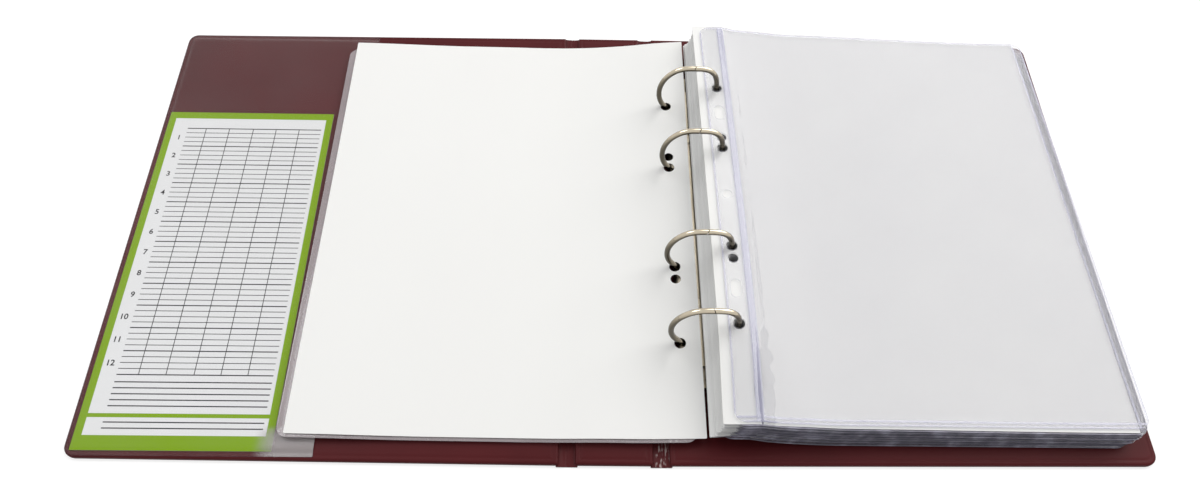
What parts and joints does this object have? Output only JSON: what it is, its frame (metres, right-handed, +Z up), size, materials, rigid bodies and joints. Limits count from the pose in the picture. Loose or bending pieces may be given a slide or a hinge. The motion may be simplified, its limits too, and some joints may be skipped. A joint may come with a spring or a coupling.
{
  "type": "banknote album",
  "caption": "Open ring binder album: welded vinyl cover of hinged panels, ring mechanism with levers, clear pocket pages, white interleaves and an index card in a clear pocket.",
  "frame": {"origin": "on the table under the middle of the spine, at the middle of the cover's height", "axes": "+X across the open album from the front panel to the back panel, +Y along the rings to the far edge, +Z up from the table"},
  "size_m": [0.53, 0.278, 0.043],
  "materials": {
    "cover_vinyl": "burgundy vinyl film, soft gloss with a fine grain, heat-welded edges",
    "greyboard": "plain grey binder's board",
    "clear_vinyl": "clear glossy film with faint ripples",
    "white_card": "smooth matt white card",
    "printed_card": "green printed card with white ruled panels",
    "nickel": "polished nickel-plated steel, slightly warm"
  },
  "bodies": {
    "back_cover": {"back_outer_vinyl": "cover_vinyl", "back_board": "greyboard", "back_inner_vinyl": "cover_vinyl", "ring_plate": "nickel", "far_rivet": "nickel", "near_rivet": "nickel", "interleaf_01": "white_card", "pocket_page_01": "clear_vinyl", "interleaf_02": "white_card", "pocket_page_02": "clear_vinyl", "interleaf_03": "white_card", "pocket_page_03": "clear_vinyl", "interleaf_04": "white_card", "pocket_page_04": "clear_vinyl", "interleaf_05": "white_card", "pocket_page_05": "clear_vinyl", "interleaf_06": "white_card", "pocket_page_06": "clear_vinyl", "interleaf_07": "white_card", "pocket_page_07": "clear_vinyl", "interleaf_08": "white_card", "pocket_page_08": "clear_vinyl", "interleaf_09": "white_card", "pocket_page_09": "clear_vinyl", "interleaf_10": "white_card", "pocket_page_10": "clear_vinyl", "interleaf_11": "white_card", "pocket_page_11": "clear_vinyl", "interleaf_12": "white_card"},
    "spine": {"spine_outer_vinyl": "cover_vinyl", "spine_board": "greyboard", "spine_inner_vinyl": "cover_vinyl"},
    "front_cover": {"front_outer_vinyl": "cover_vinyl", "front_board": "greyboard", "front_inner_vinyl": "cover_vinyl", "index_pocket": "clear_vinyl"},
    "index_card": {"index_card": "printed_card"},
    "turned_leaves": {"turned_page": "clear_vinyl", "turned_interleaf": "white_card"},
    "top_page": {"pocket_page_12": "clear_vinyl"},
    "left_rings": {"left_rail": "nickel", "left_half_ring_1": "nickel", "left_half_ring_2": "nickel", "left_half_ring_3": "nickel", "left_half_ring_4": "nickel"},
    "right_rings": {"right_rail": "nickel", "right_half_ring_1": "nickel", "right_half_ring_2": "nickel", "right_half_ring_3": "nickel", "right_half_ring_4": "nickel"},
    "far_lever": {"far_lever": "nickel"},
    "near_lever": {"near_lever": "nickel"}
  },
  "joints": [
    {"name": "spine_fold", "type": "hinge", "parent": "back_cover", "child": "spine", "pos_m": [0.023, 0, 0.0008], "axis": [0, 1, 0], "range_deg": [0, 90]},
    {"name": "front_cover_fold", "type": "hinge", "parent": "spine", "child": "front_cover", "pos_m": [-0.023, 0, 0.0008], "axis": [0, 1, 0], "range_deg": [0, 90]},
    {"name": "turned_leaves_turn", "type": "hinge", "parent": "back_cover", "child": "turned_leaves", "pos_m": [0.0453, 0, 0.0245], "axis": [0, 1, 0], "range_deg": [0, 178], "deforming": ["turned_page", "turned_interleaf"]},
    {"name": "page_turn", "type": "hinge", "parent": "back_cover", "child": "top_page", "pos_m": [0.0453, 0, 0.0245], "axis": [0, 1, 0], "range_deg": [-186, 0], "deforming": ["pocket_page_12"]},
    {"name": "card_slide", "type": "slide", "parent": "front_cover", "child": "index_card", "axis": [1, 0, 0], "range_m": [0, 0.1]},
    {"name": "left_ring_open", "type": "hinge", "parent": "back_cover", "child": "left_rings", "pos_m": [0.0349, 0, 0.0046], "axis": [0, -1, 0], "range_deg": [0, 4]},
    {"name": "right_ring_open", "type": "hinge", "parent": "back_cover", "child": "right_rings", "pos_m": [0.0557, 0, 0.0046], "axis": [0, 1, 0], "range_deg": [0, 4]},
    {"name": "far_lever_press", "type": "hinge", "parent": "back_cover", "child": "far_lever", "pos_m": [0.0453, 0.0866, 0.00585], "axis": [-1, 0, 0], "range_deg": [0, 14]},
    {"name": "near_lever_press", "type": "hinge", "parent": "back_cover", "child": "near_lever", "pos_m": [0.0453, -0.0866, 0.00585], "axis": [1, 0, 0], "range_deg": [0, 14]}
  ],
  "couplings": [
    {"joint": "front_cover_fold", "follows": "spine_fold", "ratio": 1},
    {"joint": "turned_leaves_turn", "follows": "spine_fold", "ratio": 1.96},
    {"joint": "near_lever_press", "follows": "far_lever_press", "ratio": 1},
    {"joint": "left_ring_open", "follows": "far_lever_press", "ratio": 0.28571},
    {"joint": "right_ring_open", "follows": "far_lever_press", "ratio": 0.28571}
  ]
}
